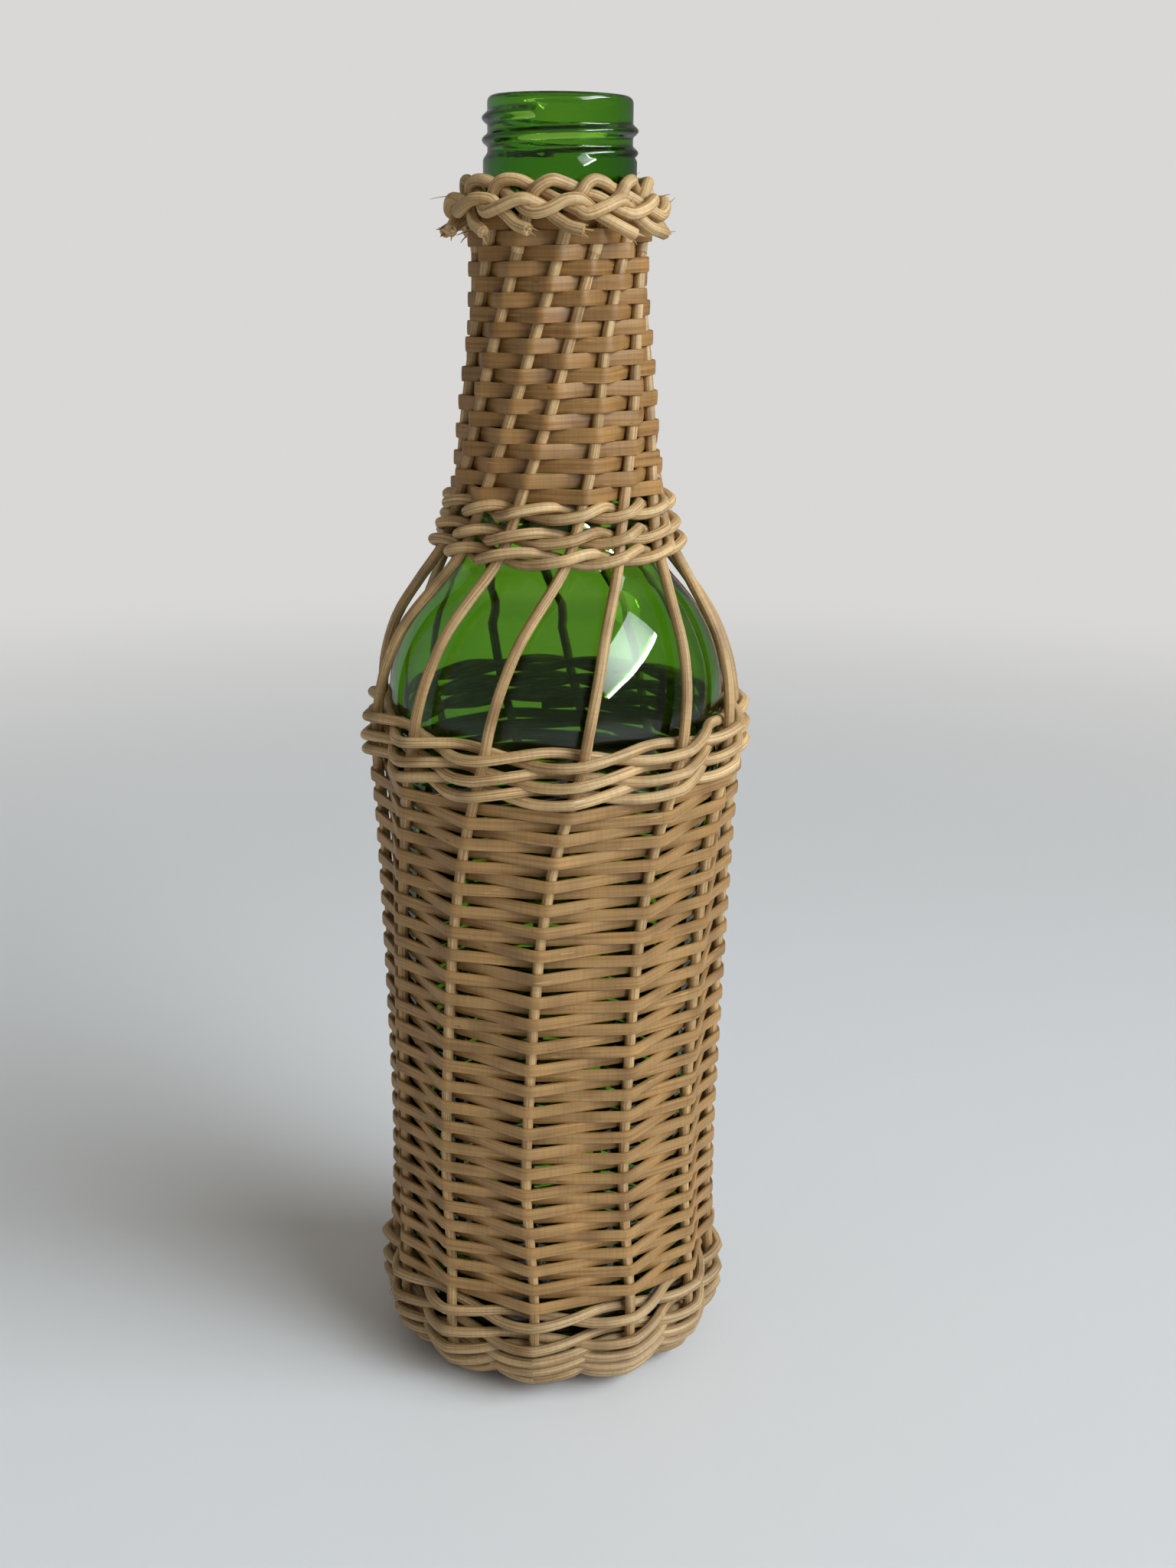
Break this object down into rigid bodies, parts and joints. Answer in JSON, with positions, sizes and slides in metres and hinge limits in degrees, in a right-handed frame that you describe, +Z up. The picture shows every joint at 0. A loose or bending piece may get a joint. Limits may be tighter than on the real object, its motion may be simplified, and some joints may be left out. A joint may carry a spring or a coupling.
{
  "type": "wicker-covered bottle",
  "caption": "Tall cylindrical screw-neck green glass bottle in a close-woven rattan cover with bare shoulder stakes and a plaited neck border.",
  "frame": {"origin": "on the bottle's axis, on the floor under the woven base", "axes": "+Z up along the bottle's axis to the mouth; -Y is the side that the picture shows"},
  "size_m": [0.1005, 0.1006, 0.324],
  "materials": {
    "green_glass": "clear bright green moulded glass",
    "round_core": "round rattan core, dry, with fine lengthwise grooves",
    "flat_cane": "flat rattan cane, satin"
  },
  "bodies": {
    "root": {"glass_bottle": "green_glass", "body_weave": "flat_cane", "neck_weave": "flat_cane", "stake_01": "round_core", "stake_02": "round_core", "stake_03": "round_core", "stake_04": "round_core", "stake_05": "round_core", "stake_06": "round_core", "stake_07": "round_core", "stake_08": "round_core", "stake_09": "round_core", "stake_10": "round_core", "stake_11": "round_core", "stake_12": "round_core", "stake_13": "round_core", "foot_pairing_1": "round_core", "foot_pairing_2": "round_core", "foot_pairing_3": "round_core", "foot_pairing_4": "round_core", "foot_pairing_5": "round_core", "rim_pairing_1": "round_core", "rim_pairing_2": "round_core", "rim_pairing_3": "round_core", "neck_pairing_1": "round_core", "neck_pairing_2": "round_core", "neck_pairing_3": "round_core", "border_lower": "round_core", "border_upper": "round_core", "woven_base": "round_core", "base_sticks": "round_core"}
  },
  "joints": []
}
